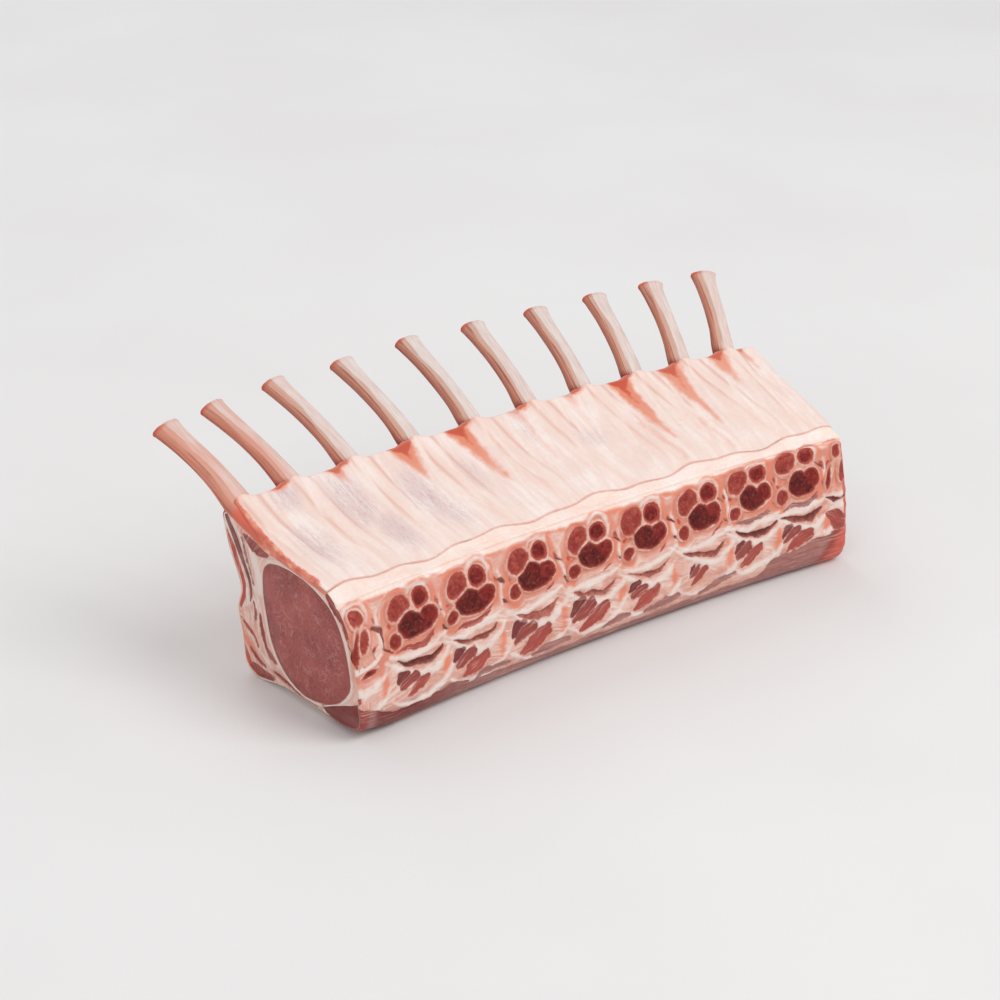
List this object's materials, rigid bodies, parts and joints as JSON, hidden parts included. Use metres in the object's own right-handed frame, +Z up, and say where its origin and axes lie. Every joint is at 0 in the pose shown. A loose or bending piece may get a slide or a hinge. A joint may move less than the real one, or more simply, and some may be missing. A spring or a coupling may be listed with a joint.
{
  "type": "raw pork rack",
  "caption": "Raw frenched pork rack: a bar of loin with bare rib bones fanned along one long edge, a sawn row of vertebrae along the other and the cut loin eye showing at each end.",
  "frame": {"origin": "bottom centre of the rack's box, on the surface it lies on", "axes": "+X along the spine from the loin end that faces the viewer to the far end, +Y from the sawn spine to the rib tips, +Z up, away from the flat fat side that the rack lies on"},
  "size_m": [0.3852, 0.1717, 0.1445],
  "materials": {
    "fat": "moist satin fat, cream to pale pink",
    "rib_meat": "moist membrane over pale rib meat",
    "loin": "moist cut lean meat, mauve pink, finely marbled",
    "dark_meat": "moist cut lean meat, dark pink",
    "rib": "scraped bone, satin, pale beige with red streaks",
    "marrow": "sawn bone, moist, dark red marrow in pale rims"
  },
  "bodies": {
    "root": {"rack_body": "fat", "rib_wall": "rib_meat", "loin_eye": "loin", "cap_muscle": "dark_meat", "spine_muscle": "dark_meat", "rib_bone_01": "rib", "rib_bone_02": "rib", "rib_bone_03": "rib", "rib_bone_04": "rib", "rib_bone_05": "rib", "rib_bone_06": "rib", "rib_bone_07": "rib", "rib_bone_08": "rib", "rib_bone_09": "rib", "rib_bone_10": "rib", "vertebra_01": "marrow", "vertebra_02": "marrow", "vertebra_03": "marrow", "vertebra_04": "marrow", "vertebra_05": "marrow", "vertebra_06": "marrow", "vertebra_07": "marrow", "vertebra_08": "marrow", "vertebra_09": "marrow", "vertebra_10": "marrow"}
  },
  "joints": []
}
